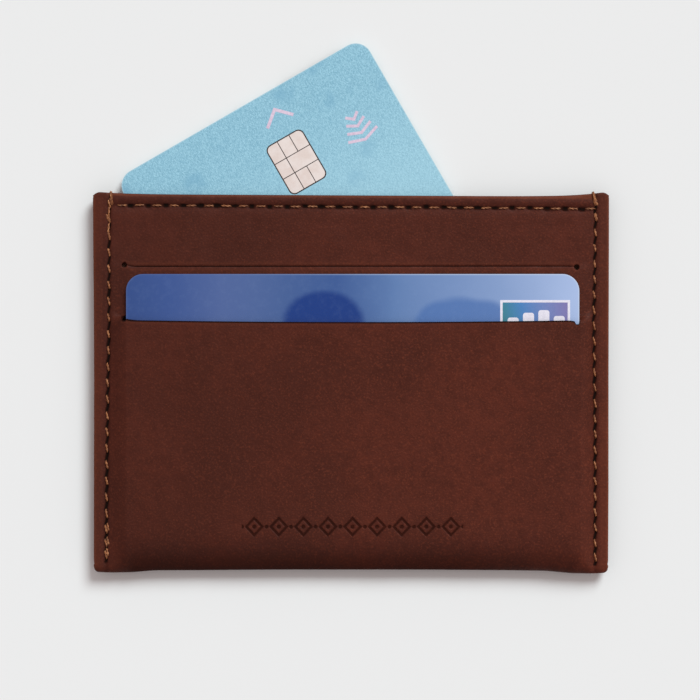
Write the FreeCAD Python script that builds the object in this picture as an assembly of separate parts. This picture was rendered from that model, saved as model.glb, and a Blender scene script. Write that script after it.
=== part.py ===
"""Leather card holder with two cards in it: a folded leather body with two front card slots
and one centre pocket. It lies on its back. Units are millimetres.

X runs to the right, Y up the holder towards the pocket's mouth, Z out of its front.
The origin is the centre of the back panel's outer face.
"""
import FreeCAD, Part
import math
import os

V = FreeCAD.Vector

# ---- driving dimensions -------------------------------------------------------------------
WIDTH = 97.2                # across the cut side edges
TOP_Y = 36.0                # pocket mouth
SEAM_BOTTOM_Y = -36.0       # fold's lowest line at the pinched seams
BOTTOM_Y = -35.45           # and in the middle, where the cards fill it
FOLD_Y = -33.45             # where the flat panels end and the fold starts

LEATHER = 0.8
SKIVED = 0.2                # leather thinned for the turned hem
FABRIC = 0.2                # lining and slot divider
CARD_T = 0.76
POCKET_GAP = 0.08           # card to hem, each side
SLIDE_GAP = 0.06            # card to leather in the slots
SEAM_LIFT = 1.3             # the pinched side seams stand clear of the table

SLIT_UPPER_Y = 21.95
SLIT_LOWER_Y = 11.6
SLIT_END_X = 42.85          # centres of the punched holes that end each slit
SLIT_WIDTH = 0.3
PUNCH_R = 0.52

FLAT_X = 43.35              # the panels lie flat out to here, then slope down to the seams
SEAM_X = 45.3               # inner faces meet from here outwards
HEM_HALF_W = 43.3           # turned hems stop short of the side seams
HEM_DEPTH = 5.5
DIVIDER_BOTTOM_Y = -24.0

CARD_W, CARD_H, CARD_R = 85.60, 53.98, 3.18     # ID-1 card
OVERLAY = 0.05
BLUE_X = 0.34
PALE_CENTRE = (0.10, 14.95)
PALE_TURN = -60.0           # degrees from upright reading position

SEAM_PITCH, HEM_PITCH = 3.05, 3.31
SEAM_LINE_X, HEM_LINE_Y = 46.0, 33.35
THREAD_W = 0.45
STITCH_PROUD = 0.2
STITCH_LEG = 0.35           # how deep and how wide a stitch's legs are
OUT = "parts"

# ---- heights that follow from them --------------------------------------------------------
half_w = WIDTH / 2
seam_back_top = SEAM_LIFT + LEATHER
seam_front_bottom = seam_back_top + FABRIC
pale_z = LEATHER + SKIVED + POCKET_GAP
front_hem_z = pale_z + CARD_T + POCKET_GAP
lining_z = front_hem_z + SKIVED
top_zone_z = lining_z + FABRIC
strip_z = top_zone_z + FABRIC
blue_bottom_z = top_zone_z + 0.1        # back face of the front card at its lower edge
blue_slit_z = strip_z + LEATHER + SLIDE_GAP
blue_tilt = math.atan2(blue_slit_z - blue_bottom_z, SLIT_LOWER_Y - FOLD_Y)
lip_z = blue_slit_z + CARD_T + SLIDE_GAP
low_z = blue_bottom_z + CARD_T + SLIDE_GAP


def polygon(points):
    return Part.makePolygon([V(*p) for p in points] + [V(*points[0])])


def across(low, high, y):
    """Closed outline across the holder from the right half of its lower and upper lines."""
    under = low + [(-x, z) for x, z in reversed(low)]
    over = [(-x, z) for x, z in reversed(high)] + high
    return polygon([(x, y, z) for x, z in under + over])


def arched_outline(y, mid_z, seam_z, thick, shift):
    """Closed outline across the holder: flat in the middle, sloping to the pinched seams.
    The upper slope stands shift further out than the lower one."""
    low = [(half_w, seam_z), (SEAM_X, seam_z), (FLAT_X, mid_z)]
    high = [(FLAT_X + shift, mid_z + thick), (SEAM_X + shift, seam_z + thick),
            (half_w, seam_z + thick)]
    return across(low, high, y)


def sheet_between(y0, y1, mid0, mid1, seam_z, thick, shift):
    """A sheet from y0 to y1 whose middle height runs from mid0 to mid1."""
    ends = [arched_outline(y0, mid0, seam_z, thick, shift),
            arched_outline(y1, mid1, seam_z, thick, shift)]
    return Part.makeLoft(ends, True, True)


def level_sheet(y0, y1, mid_z, seam_z, thick, shift=0.0):
    face = Part.Face(arched_outline(y0, mid_z, seam_z, thick, shift))
    return face.extrude(V(0, y1 - y0, 0))


def box(x0, x1, y0, y1, z0, z1):
    return Part.makeBox(x1 - x0, y1 - y0, z1 - z0, V(x0, y0, z0))


# ---- the leather ---------------------------------------------------------------------------
def slit(y):
    """A knife cut between two punched holes."""
    cut = box(-SLIT_END_X, SLIT_END_X, y - SLIT_WIDTH / 2, y + SLIT_WIDTH / 2, 0, 9)
    for side in (-1, 1):
        cut = cut.fuse(Part.makeCylinder(PUNCH_R, 9, V(side * SLIT_END_X, y, 0)))
    return cut


def front_panel():
    """Three zones in one sheet: above the upper slit, the strip between the slits, and the
    lower zone, which the front card lifts clear of the strip."""
    slope_shift = 0.45
    top = level_sheet(SLIT_UPPER_Y, TOP_Y, top_zone_z, seam_front_bottom, LEATHER, slope_shift)
    strip = level_sheet(SLIT_LOWER_Y, SLIT_UPPER_Y, strip_z, seam_front_bottom, LEATHER,
                        slope_shift)
    lower = sheet_between(FOLD_Y, SLIT_LOWER_Y, low_z, lip_z, seam_front_bottom, LEATHER,
                          slope_shift)
    panel = top.fuse([strip, lower])
    return panel.cut(slit(SLIT_UPPER_Y)).cut(slit(SLIT_LOWER_Y))


def back_panel():
    low = [(half_w, SEAM_LIFT), (SEAM_X + 0.2, SEAM_LIFT), (FLAT_X + 0.2, 0.0)]
    high = [(FLAT_X, LEATHER), (SEAM_X, seam_back_top), (half_w, seam_back_top)]
    return Part.Face(across(low, high, FOLD_Y)).extrude(V(0, TOP_Y - FOLD_Y, 0))


def fold_section(x, back_z, front_z, bottom, r_back, r_front):
    """C-shaped section: small bend at the back, larger one at the front."""
    def arc(cy, cz, r, start, end):
        at = [V(x, cy + r * math.cos(a), cz + r * math.sin(a))
              for a in (start, (start + end) / 2, end)]
        return Part.Arc(*at).toShape()

    back_c = (bottom + r_back, back_z + r_back)
    front_c = (bottom + r_front, front_z - r_front)
    quarter = math.pi / 2
    outer = [arc(*back_c, r_back, -quarter, -2 * quarter),
             arc(*front_c, r_front, 2 * quarter, quarter)]
    inner = [arc(*front_c, r_front - LEATHER, quarter, 2 * quarter),
             arc(*back_c, r_back - LEATHER, 2 * quarter, 3 * quarter)]
    tips = [V(x, FOLD_Y, z) for z in (front_z, front_z - LEATHER, back_z + LEATHER, back_z)]
    edges, corner = [], tips[-1]
    for arcs, ends in ((outer, tips[:2]), (inner, tips[2:])):
        for piece in arcs:
            start, end = piece.Vertexes[0].Point, piece.Vertexes[-1].Point
            if corner.distanceToPoint(start) > corner.distanceToPoint(end):
                start, end = end, start
            edges += [Part.makeLine(corner, start), piece]
            corner = end
        for tip in ends:
            edges.append(Part.makeLine(corner, tip))
            corner = tip
    return Part.Wire(edges)


def bottom_fold():
    seam_front = seam_front_bottom + LEATHER
    bend = LEATHER + FABRIC / 2 - 0.02
    seam = (SEAM_LIFT, seam_front, SEAM_BOTTOM_Y, bend, bend)
    middle = (0.0, low_z + LEATHER, BOTTOM_Y, 1.6, 1.95)
    places = [(-half_w, seam), (-SEAM_X, seam), (-FLAT_X, middle),
              (FLAT_X, middle), (SEAM_X, seam), (half_w, seam)]
    return Part.makeLoft([fold_section(x, *shape) for x, shape in places], True, True)


def front_top_hem():
    """Flap turned in behind the lining's top edge."""
    flap = box(-HEM_HALF_W, HEM_HALF_W, TOP_Y - HEM_DEPTH, TOP_Y, front_hem_z, lining_z)
    bend = box(-HEM_HALF_W, HEM_HALF_W, TOP_Y - LEATHER, TOP_Y, lining_z, top_zone_z)
    return flap.fuse(bend).removeSplitter()


def back_top_hem():
    return box(-HEM_HALF_W, HEM_HALF_W, TOP_Y - HEM_DEPTH, TOP_Y, LEATHER, LEATHER + SKIVED)


# ---- the fabric ----------------------------------------------------------------------------
def front_lining():
    """Wall between the front slots and the centre pocket, caught in both side seams."""
    return level_sheet(FOLD_Y + 0.15, TOP_Y - LEATHER, lining_z, seam_back_top, FABRIC)


def slot_divider():
    """Bonded behind the strip between the slits; it ends the upper slot above the fold."""
    return box(-HEM_HALF_W, HEM_HALF_W, DIVIDER_BOTTOM_Y, SLIT_UPPER_Y - 0.55,
               top_zone_z, strip_z)


# ---- the threads ---------------------------------------------------------------------------
def staple(start, end, up, proud):
    """One visible stitch with the short legs that dive into its needle holes."""
    along = end - start
    length = along.Length
    leg = STITCH_LEG
    outline = [(0, -leg), (0, proud), (length, proud), (length, -leg), (length - leg, -leg),
               (length - leg, proud - 0.25), (leg, proud - 0.25), (leg, -leg)]
    run = along.normalize()
    side = run.cross(up).normalize()
    rise = side.cross(run).normalize()
    base = start - side * (THREAD_W / 2)
    points = [base + run * s + rise * h for s, h in outline]
    face = Part.Face(Part.makePolygon(points + [points[0]]))
    return face.extrude(side * THREAD_W)


def seam_thread(side, front):
    """The stitches of one side seam, on the front or the back of it."""
    z = seam_front_bottom + LEATHER if front else SEAM_LIFT
    up = V(0, 0, 1) if front else V(0, 0, -1)
    length, lean = 1.75, 0.20
    x, first_y = side * SEAM_LINE_X, TOP_Y - 1.2
    made = []
    for i in range(22):
        y = first_y - i * SEAM_PITCH
        made.append(staple(V(x - lean, y, z), V(x + lean, y - length, z), up, STITCH_PROUD))
    return Part.makeCompound(made)


def hem_thread(z, up, proud):
    """The stitches along one turned hem."""
    length, count = 1.95, 26
    first_x = -(count - 1) * HEM_PITCH / 2 - length / 2
    made = []
    for i in range(count):
        x = first_x + i * HEM_PITCH
        made.append(staple(V(x, HEM_LINE_Y, z), V(x + length, HEM_LINE_Y, z), up, proud))
    return Part.makeCompound(made)


# ---- the cards -----------------------------------------------------------------------------
# A card is drawn with its lower left corner at the origin, its back on z = 0.
CHIP_X, CHIP_Y, CHIP_W, CHIP_H = 9.0, 27.4, 10.6, 8.0
CHIP_PLATE_T, CHIP_BODY_T = 0.18, 0.56
STRIPE_TOP, STRIPE_H = 5.0, 12.7
SIGN_X, SIGN_Y, SIGN_W, SIGN_H = 9.0, 21.5, 55.0, 9.5
COIL_TURNS, COIL_STEP, COIL_WIRE, COIL_EDGE = 3, 0.5, 0.12, 2.2


def rounded(w, h, r, z0, z1, x0=0.0, y0=0.0):
    slab = box(x0, x0 + w, y0, y0 + h, z0, z1)
    upright = [e for e in slab.Edges if abs(e.Vertexes[0].Z - e.Vertexes[-1].Z) > 1e-6]
    return slab.makeFillet(r, upright)


def chip_plate():
    return rounded(CHIP_W, CHIP_H, 1.2, CARD_T - CHIP_PLATE_T, CARD_T, CHIP_X, CHIP_Y)


def chip_module():
    """Contact plate with the encapsulated die under it."""
    die_w, die_h = 6.0, 5.0
    die = box(CHIP_X + (CHIP_W - die_w) / 2, CHIP_X + (CHIP_W + die_w) / 2,
              CHIP_Y + (CHIP_H - die_h) / 2, CHIP_Y + (CHIP_H + die_h) / 2,
              CARD_T - CHIP_BODY_T, CARD_T - CHIP_PLATE_T)
    return chip_plate().fuse(die).removeSplitter()


def magnetic_stripe():
    top = CARD_H - STRIPE_TOP
    return box(0, CARD_W, top - STRIPE_H, top, 0, OVERLAY)


def signature_panel():
    return rounded(SIGN_W, SIGN_H, 0.8, 0, OVERLAY, SIGN_X, SIGN_Y)


def antenna_coil():
    """Flat turns of wire around the card, each one a closed ring."""
    turns = []
    mid = CARD_T / 2 - 0.22
    for i in range(COIL_TURNS):
        inset = COIL_EDGE + i * COIL_STEP
        ring = []
        for edge in (inset, inset + COIL_WIRE):
            ring.append(rounded(CARD_W - 2 * edge, CARD_H - 2 * edge, CARD_R - 0.2 * i,
                                mid, mid + COIL_WIRE, edge, edge))
        turns.append(ring[0].cut(ring[1]))
    return Part.makeCompound(turns)


def card_pieces(with_antenna):
    """The laminated sheets and inserts of one card, in its own position."""
    core = rounded(CARD_W, CARD_H, CARD_R, OVERLAY, CARD_T - OVERLAY).cut(chip_module())
    front = rounded(CARD_W, CARD_H, CARD_R, CARD_T - OVERLAY, CARD_T).cut(chip_plate())
    back = rounded(CARD_W, CARD_H, CARD_R, 0, OVERLAY)
    back = back.cut(magnetic_stripe()).cut(signature_panel())
    pieces = {"chip_module": chip_module(), "magnetic_stripe": magnetic_stripe(),
              "signature_panel": signature_panel(), "front_overlay": front,
              "back_overlay": back}
    if with_antenna:
        pieces["antenna_coil"] = antenna_coil()
        core = core.cut(pieces["antenna_coil"])
    pieces["core"] = core
    return pieces


def place_blue(shape):
    """Upright, leaning out over the strip by blue_tilt."""
    moved = shape.copy()
    moved.translate(V(BLUE_X - CARD_W / 2, 0, 0))
    moved.rotate(V(0, 0, 0), V(1, 0, 0), math.degrees(blue_tilt))
    moved.translate(V(0, FOLD_Y, blue_bottom_z))
    return moved


def place_pale(shape):
    moved = shape.copy()
    moved.translate(V(-CARD_W / 2, -CARD_H / 2, 0))
    moved.rotate(V(0, 0, 0), V(0, 0, 1), PALE_TURN)
    moved.translate(V(PALE_CENTRE[0], PALE_CENTRE[1], pale_z))
    return moved


def build():
    up, down = V(0, 0, 1), V(0, 0, -1)
    nodes = {
        "front_panel": front_panel(),
        "back_panel": back_panel(),
        "bottom_fold": bottom_fold(),
        "front_top_hem": front_top_hem(),
        "back_top_hem": back_top_hem(),
        "front_lining": front_lining(),
        "slot_divider": slot_divider(),
        "front_hem_needle_thread": hem_thread(top_zone_z + LEATHER, up, STITCH_PROUD),
        "front_hem_bobbin_thread": hem_thread(front_hem_z, down, 0.04),
        "back_hem_needle_thread": hem_thread(0.0, down, 0.0),
        "back_hem_bobbin_thread": hem_thread(LEATHER + SKIVED, up, 0.04),
    }
    for side, word in ((-1, "left"), (1, "right")):
        nodes[word + "_seam_needle_thread"] = seam_thread(side, True)
        nodes[word + "_seam_bobbin_thread"] = seam_thread(side, False)
    for name, shape in card_pieces(False).items():
        nodes["blue_card_" + name] = place_blue(shape)
    for name, shape in card_pieces(True).items():
        nodes["pale_card_" + name] = place_pale(shape)
    return nodes


os.makedirs(OUT, exist_ok=True)
for node, shape in build().items():
    shape.exportStep(os.path.join(OUT, node + ".step"))
    size = shape.BoundBox
    print(node, "solids", len(shape.Solids), "valid", shape.isValid(),
          "mm3 %.1f" % shape.Volume,
          "box %.2f %.2f %.2f" % (size.XLength, size.YLength, size.ZLength))
print("card tilt %.3f deg, lip top %.2f" % (math.degrees(blue_tilt), lip_z + LEATHER))
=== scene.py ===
"""Looks of the leather card holder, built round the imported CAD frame. Blender 4.5."""
import bpy
import bmesh
import math
import numpy as np
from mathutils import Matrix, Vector


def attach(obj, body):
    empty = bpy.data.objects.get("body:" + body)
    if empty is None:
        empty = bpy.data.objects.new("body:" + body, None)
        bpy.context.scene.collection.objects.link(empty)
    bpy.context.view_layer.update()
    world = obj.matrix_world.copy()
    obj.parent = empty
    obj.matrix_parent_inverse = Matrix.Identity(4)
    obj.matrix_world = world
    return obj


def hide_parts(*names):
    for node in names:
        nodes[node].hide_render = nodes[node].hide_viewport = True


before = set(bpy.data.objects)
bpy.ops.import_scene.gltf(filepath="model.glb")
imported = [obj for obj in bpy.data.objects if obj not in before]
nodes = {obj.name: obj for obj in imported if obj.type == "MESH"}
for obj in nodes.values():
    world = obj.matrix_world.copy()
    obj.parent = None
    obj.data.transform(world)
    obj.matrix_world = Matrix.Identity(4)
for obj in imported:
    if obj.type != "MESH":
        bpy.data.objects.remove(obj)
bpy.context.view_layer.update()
MM = 0.001

# ---- sizes in millimetres: layers and cards as in the CAD source, the rest as it looks ------
HALF_W = 48.6
LEATHER, FLAP_T = 0.8, 0.2
TOP_ZONE_Z, STRIP_Z = 3.12, 3.32            # outer faces of the front's upper zones
LOW_ZONE_Z, LOW_SLOPE, FOLD_Y = 4.04, 0.0213, -33.45
SEAM_FRONT_Z, SEAM_BACK_Z = 3.1, 1.3        # outer faces at the pinched side seams
FLAP_FRONT_Z, FLAP_BACK_Z = 1.92, 1.0       # pocket faces of the turned hems
HEM_HALF_W, HEM_DEPTH = 43.3, 5.5
HOLE_LEFT, HOLE_RIGHT, HOLE_R = -42.92, 42.75, 0.52
TIP_LEFT, TIP_RIGHT = HOLE_LEFT - HOLE_R, HOLE_RIGHT + HOLE_R
CARD_LEFT, CARD_RIGHT = -42.46, 43.14
SEAM_SKIN = 0.78                            # one leather layer where the seams pinch it
SEAM_STITCH = 1.5
# stitch middles from the top down; the last ones lie closer together
SEAM_MIDDLES = {-1: [33.9 - 3.09 * i for i in range(20)] + [-27.8, -30.4, -32.6],
                1: [34.25 - 2.94 * i for i in range(23)] + [-33.1]}
HEM_PITCH, HEM_COUNT, HEM_FIRST_X, HEM_STITCH = 3.283, 28, -43.3, 1.9
UPPER_GAP, LOWER_GAP = 0.11, 0.10           # widths of the knife cuts
BOTTOM_CORNER_R, CUT_EDGE_R = 0.95, 0.34
CARD_W, CARD_H, CARD_R, CARD_T = 85.60, 53.98, 3.18, 0.76


# ---- camera and light -----------------------------------------------------------------------
def linear(*srgb):
    """Linear colour from 8-bit display values."""
    out = []
    for v in srgb:
        v = v / 255
        out.append(v / 12.92 if v <= 0.04045 else ((v + 0.055) / 1.055) ** 2.4)
    return tuple(out) + (1.0,)


def add_camera():
    data = bpy.data.cameras.new("camera")
    data.sensor_width, data.lens = 36, 135
    data.clip_start, data.clip_end = 0.01, 10
    cam = bpy.data.objects.new("camera", data)
    cam.location = (-0.17 * MM, 6.15 * MM, 0.500)
    bpy.context.scene.collection.objects.link(cam)
    bpy.context.scene.camera = cam


def add_sun(energy, spread, towards, tint):
    data = bpy.data.lights.new("sun", "SUN")
    data.energy, data.angle, data.color = energy, math.radians(spread), tint
    lamp = bpy.data.objects.new("sun", data)
    lamp.rotation_euler = (-Vector(towards)).to_track_quat("-Z", "Y").to_euler()
    bpy.context.scene.collection.objects.link(lamp)


def add_world(strength, tint):
    world = bpy.data.worlds.new("studio")
    world.use_nodes = True
    back = world.node_tree.nodes["Background"]
    back.inputs["Color"].default_value = (*tint, 1)
    back.inputs["Strength"].default_value = strength
    bpy.context.scene.world = world


add_camera()
add_world(0.48, (1.05, 0.935, 0.92))
add_sun(2.67, 28, (0.60, 1.05, 1.0), (0.955, 1.06, 1.075))
bpy.context.scene.view_settings.view_transform = "Standard"


# ---- materials ------------------------------------------------------------------------------
class Material:
    """A Principled material with short ways to add nodes. Coordinates are object ones in mm."""

    def __init__(self, name, **uniform):
        self.mat = bpy.data.materials.new(name)
        self.mat.use_nodes = True
        self.tree = self.mat.node_tree
        self.shader = self.tree.nodes["Principled BSDF"]
        for key, value in uniform.items():
            self.shader.inputs[key.replace("_", " ")].default_value = value
        coords = self.node("TexCoord")
        self.place = self.vector("SCALE", coords.outputs["Object"], scale=1 / MM)

    def put(self, socket, value):
        if isinstance(value, bpy.types.NodeSocket):
            self.tree.links.new(value, socket)
        else:
            socket.default_value = value

    def node(self, kind, **inputs):
        made = self.tree.nodes.new("ShaderNode" + kind)
        for key, value in inputs.items():
            self.put(made.inputs[key.replace("_", " ")], value)
        return made

    def vector(self, op, a, b=None, scale=None):
        node = self.node("VectorMath")
        node.operation = op
        self.put(node.inputs[0], a)
        if b is not None:
            self.put(node.inputs[1], b)
        if scale is not None:
            node.inputs["Scale"].default_value = scale
        return node.outputs["Value" if op in ("LENGTH", "DISTANCE", "DOT_PRODUCT") else "Vector"]

    def math(self, op, a, b=0.0, clamp=False):
        node = self.node("Math")
        node.operation, node.use_clamp = op, clamp
        self.put(node.inputs[0], a)
        self.put(node.inputs[1], b)
        return node.outputs[0]

    def plus(self, a, b):
        return self.math("ADD", a, b)

    def minus(self, a, b):
        return self.math("SUBTRACT", a, b)

    def times(self, a, b):
        return self.math("MULTIPLY", a, b)

    def noise(self, per_mm, detail=3.0, rough=0.55, at=None, distortion=0.0):
        return self.node("TexNoise", Vector=at or self.place, Scale=per_mm, Detail=detail,
                         Roughness=rough, Distortion=distortion).outputs["Fac"]

    def cells(self, per_mm, at=None):
        return self.node("TexVoronoi", Vector=at or self.place, Scale=per_mm).outputs["Distance"]

    def span(self, value, low, high, to_low=0.0, to_high=1.0):
        """Value mapped from low..high onto to_low..to_high, smoothly and clamped."""
        node = self.node("MapRange", Value=value, From_Min=low, From_Max=high, To_Min=to_low,
                         To_Max=to_high)
        node.interpolation_type = "SMOOTHSTEP"
        return node.outputs["Result"]

    def mix(self, fac, a, b, how="MIX"):
        node = self.node("Mix")
        node.data_type, node.blend_type = "RGBA", how
        self.put(node.inputs[0], fac)
        self.put(node.inputs[6], a)
        self.put(node.inputs[7], b)
        return node.outputs[2]

    def ramp(self, value, stops):
        node = self.node("ValToRGB")
        self.put(node.inputs[0], value)
        band = node.color_ramp.elements
        while len(band) < len(stops):
            band.new(0.5)
        for element, (at, colour) in zip(band, stops):
            element.position, element.color = at, colour
        return node.outputs[0]

    def attribute(self, name):
        node = self.node("Attribute")
        node.attribute_name = name
        return node.outputs["Fac"]

    def axes(self, at=None):
        return self.node("SeparateXYZ", Vector=at or self.place).outputs

    def colour(self, value):
        self.put(self.shader.inputs["Base Color"], value)

    def bump(self, height, depth_mm, strength=1.0, under=None):
        node = self.node("Bump", Strength=strength, Distance=depth_mm * MM, Height=height)
        if under is not None:
            self.put(node.inputs["Normal"], under)
        self.put(self.shader.inputs["Normal"], node.outputs[0])
        return node.outputs[0]


def leather_material():
    m = Material("leather", Specular_IOR_Level=0.14)
    broad = m.noise(0.055, 3.0, 0.6)
    patch = m.noise(0.45, 4.0, 0.65)
    fine = m.noise(2.6, 3.0, 0.7)
    tone = m.ramp(m.span(broad, 0.3, 0.7), [(0.0, linear(71, 29, 18)), (1.0, linear(85, 35, 22))])
    tone = m.mix(m.span(patch, 0.35, 0.7, 0.0, 0.6), tone, linear(63, 25, 16))
    tone = m.mix(m.span(fine, 0.48, 0.72, 0.0, 0.6), tone, linear(112, 52, 33))
    specks = m.span(m.cells(1.1), 0.04, 0.13, 0.55, 0.0)
    tone = m.mix(specks, tone, linear(50, 20, 14))
    x, y, _ = m.axes()
    # darker towards the left: painted shade, as the light comes from the right; and a little darker
    # towards the top
    tone = m.mix(m.span(x, -46.0, 20.0, 0.34, 0.0), tone, linear(54, 21, 12))
    tone = m.mix(m.span(y, 10.0, 20.0, 0.0, 0.12), tone, linear(54, 21, 12))
    # lighter where the leather is rubbed, together with painted highlights on rounded edges and
    # lips
    tone = m.mix(m.attribute("wear_and_highlight"), tone, linear(140, 72, 44))
    # the dark mask, reddened: painted shade in the grooves, needle holes and slits and down the
    # fold, along with the pressed band's dark lines
    tone = m.mix(m.attribute("dark"), tone, (1.1, 0.7, 0.45, 1.0), "MULTIPLY")
    tone = m.mix(m.attribute("dark"), tone, linear(17, 6, 3))
    m.colour(tone)
    rough = m.math("MAXIMUM", m.span(patch, 0.3, 0.7, 0.55, 0.72),
                   m.span(m.attribute("dark"), 0.3, 0.7, 0.5, 1.0))
    m.put(m.shader.inputs["Roughness"], rough)
    grain = m.plus(m.cells(2.4), m.times(m.noise(5.0, 2.0), 0.5))
    first = m.bump(grain, 0.035, 0.8)
    m.bump(m.noise(0.7, 3.0), 0.08, 0.6, under=first)
    return m.mat


def fabric_material():
    m = Material("twill", Specular_IOR_Level=0.2, Roughness=0.85)
    x, y, _ = m.axes()
    wale = m.math("SINE", m.times(m.plus(x, y), 12.0))
    yarn = m.math("SINE", m.times(m.minus(x, y), 26.0))
    weave = m.plus(m.times(wale, 0.35), m.times(yarn, 0.15))
    weave = m.math("ADD", weave, 0.5, clamp=True)
    tone = m.mix(weave, linear(40, 24, 18), linear(78, 50, 38))
    m.colour(m.mix(m.span(m.noise(1.3), 0.4, 0.7, 0.0, 0.3), tone, linear(92, 62, 46)))
    m.bump(weave, 0.05)
    return m.mat


def thread_material():
    m = Material("waxed_thread", Specular_IOR_Level=0.45, Roughness=0.5)
    tone = m.ramp(m.noise(1.6, 3.0, 0.6), [(0.32, linear(104, 60, 34)), (0.52, linear(150, 90, 50)),
                                           (0.74, linear(202, 143, 98))])
    # darker stitch ends: painted shade where the thread goes into its holes, with each stitch's own
    # slight tone
    m.colour(m.mix(m.attribute("dark"), tone, linear(40, 20, 12)))
    m.bump(m.noise(14.0, 2.0), 0.02)
    return m.mat


leather = leather_material()
fabric = fabric_material()
thread = thread_material()


# ---- mesh helpers ---------------------------------------------------------------------------
def smooth(t):
    t = np.clip(t, 0.0, 1.0)
    return t * t * (3 - 2 * t)


def bell(distance, width):
    return np.exp(-(distance / width) ** 2)


def unit(v):
    return v / np.linalg.norm(v, axis=-1, keepdims=True)


def steps(a, b, size):
    """Evenly spaced values from a up to, but not including, b."""
    return np.linspace(a, b, max(1, int(round(abs(b - a) / size))) + 1)[:-1]


def paced(stops, sizes):
    """Values from the first stop to the last, with a step size of its own in each stretch."""
    parts = [steps(a, b, size) for a, b, size in zip(stops, stops[1:], sizes)]
    return np.concatenate(parts + [[stops[-1]]])


def to_object(name, bm, material, sharp_deg=40.0):
    bmesh.ops.recalc_face_normals(bm, faces=bm.faces[:])
    mesh = bpy.data.meshes.new(name)
    bm.to_mesh(mesh)
    bm.free()
    mesh.materials.append(material)
    mesh.shade_smooth()
    mesh.set_sharp_from_angle(angle=math.radians(sharp_deg))
    obj = bpy.data.objects.new(name, mesh)
    bpy.context.scene.collection.objects.link(obj)
    return obj


# ---- the leather's shape --------------------------------------------------------------------
def at_holes(x, left, right):
    """A shift of a slit's line that only its two punched holes have."""
    return left * bell(x - HOLE_LEFT, 0.9) + right * bell(x - HOLE_RIGHT, 0.9)


def upper_slit_y(x):
    return 21.98 + 0.0007 * x + at_holes(x, 0.36, -0.2)


def lower_slit_y(x):
    return 11.46 - 0.0006 * x + 0.0002 * x * x + at_holes(x, 0.27, -0.36)


def top_y(x):
    share = np.abs(x) / HALF_W
    corner = 0.75 * np.clip((np.abs(x) - 47.4) / 1.2, 0, 1) ** 2
    return 35.46 - 0.25 * x / HALF_W + np.where(x < 0, 0.45, 0.95) * share ** 9 - corner


def bottom_y(x):
    a = np.abs(x)
    low = (-35.52 - 0.13 * smooth((a - 10.0) / 25.0) - 0.40 * smooth((a - 36.0) / 7.0)
           + 0.10 * smooth((a - 45.0) / 3.6) - 0.18 * smooth((x - 28.0) / 16.0))
    r = BOTTOM_CORNER_R
    over = np.clip(a - HALF_W + r, 0, r)
    return low + r - np.sqrt(np.maximum(r ** 2 - over * over, 0.0))


def seam_ramp(x):
    """1 over the cards, 0 at the pinched side seams."""
    left = np.clip((-x - 42.4) / 3.9, 0, 1)
    right = np.clip((x - 43.4) / 2.8, 0, 1)
    fall = np.where(x < 0, left, right)
    return 1 - 0.45 * fall - 0.55 * smooth(fall)


def back_ramp(x):
    return 1 - smooth((np.abs(x) - 43.4) / 2.2)


def beyond_tip(x):
    return np.where(x < 0, TIP_LEFT - x, x - TIP_RIGHT)


def open_share(x):
    """0 where a card keeps the two lips of a slit apart, 1 from the slit's tip outwards."""
    left = smooth((CARD_LEFT - 0.06 - x) / (CARD_LEFT - 0.06 - TIP_LEFT))
    right = smooth((x - CARD_RIGHT - 0.02) / (TIP_RIGHT - CARD_RIGHT - 0.02))
    return np.where(x < 0, left, right)


def step_share(x, y, slit, side):
    """How far the surface has gone from the level above a slit to the level below it.
    side is 1 for the leather above the slit and -1 for the leather below it."""
    out = np.maximum(beyond_tip(x), 0.0)
    width = 0.9 + 1.0 * out
    base = smooth((slit + 0.674 * width - y) / width)
    q = open_share(x)
    return q * base if side > 0 else 1 - q * (1 - base)


def low_level(y):
    return LOW_ZONE_Z + (y - FOLD_Y) * LOW_SLOPE


def front_height(x, y):
    """Outer face of the front at rest, with neither grooves nor grain."""
    up, lo = upper_slit_y(x), lower_slit_y(x)
    above = step_share(x, y, up, 1)
    below = step_share(x, y, up, -1)
    upper = np.where(y >= up, above, below)
    level = TOP_ZONE_Z + (STRIP_Z - TOP_ZONE_Z) * upper
    share = np.where(y >= lo, step_share(x, y, lo, 1), step_share(x, y, lo, -1))
    level = level + (low_level(np.minimum(y, lo)) - level) * share
    return SEAM_FRONT_Z + (level - SEAM_FRONT_Z) * seam_ramp(x)


def wander(x, y, size, seed):
    """Slow unevenness: a sum of a few waves 8 to 25 mm long."""
    draw = np.random.default_rng(seed)
    total = np.zeros(np.broadcast(x, y).shape)
    for _ in range(9):
        length, turn, phase = draw.uniform(8, 25), draw.uniform(0, math.pi), draw.uniform(0, 6.28)
        k = 2 * math.pi / length
        total = total + np.sin(k * (x * math.cos(turn) + y * math.sin(turn)) + phase)
    return total * size / 3.0


def hem_line_y(x):
    return 33.25 - 0.0075 * x


def seam_line_x(side, y):
    if side > 0:
        return np.interp(y, [-36, -8, 12, 20, 33, 36], [46.26, 46.24, 45.98, 46.12, 46.3, 46.2])
    return -np.interp(y, [-36, -32, -3, 12, 36], [46.42, 46.38, 46.1, 45.85, 45.75])


def seam_stitches(side):
    """Upper and lower end of each stitch of a side seam, as (x, y) pairs."""
    made = []
    for middle in SEAM_MIDDLES[side]:
        y = middle + SEAM_STITCH / 2
        x0, x1 = seam_line_x(side, y), seam_line_x(side, y - SEAM_STITCH)
        made.append(((x0 - 0.17, y), (x1 + 0.17, y - SEAM_STITCH)))
    return made


def hem_stitches():
    made = []
    for i in range(HEM_COUNT):
        x = HEM_FIRST_X - HEM_STITCH / 2 + i * HEM_PITCH
        made.append(((x, hem_line_y(x)), (x + HEM_STITCH, hem_line_y(x + HEM_STITCH))))
    return made


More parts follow.
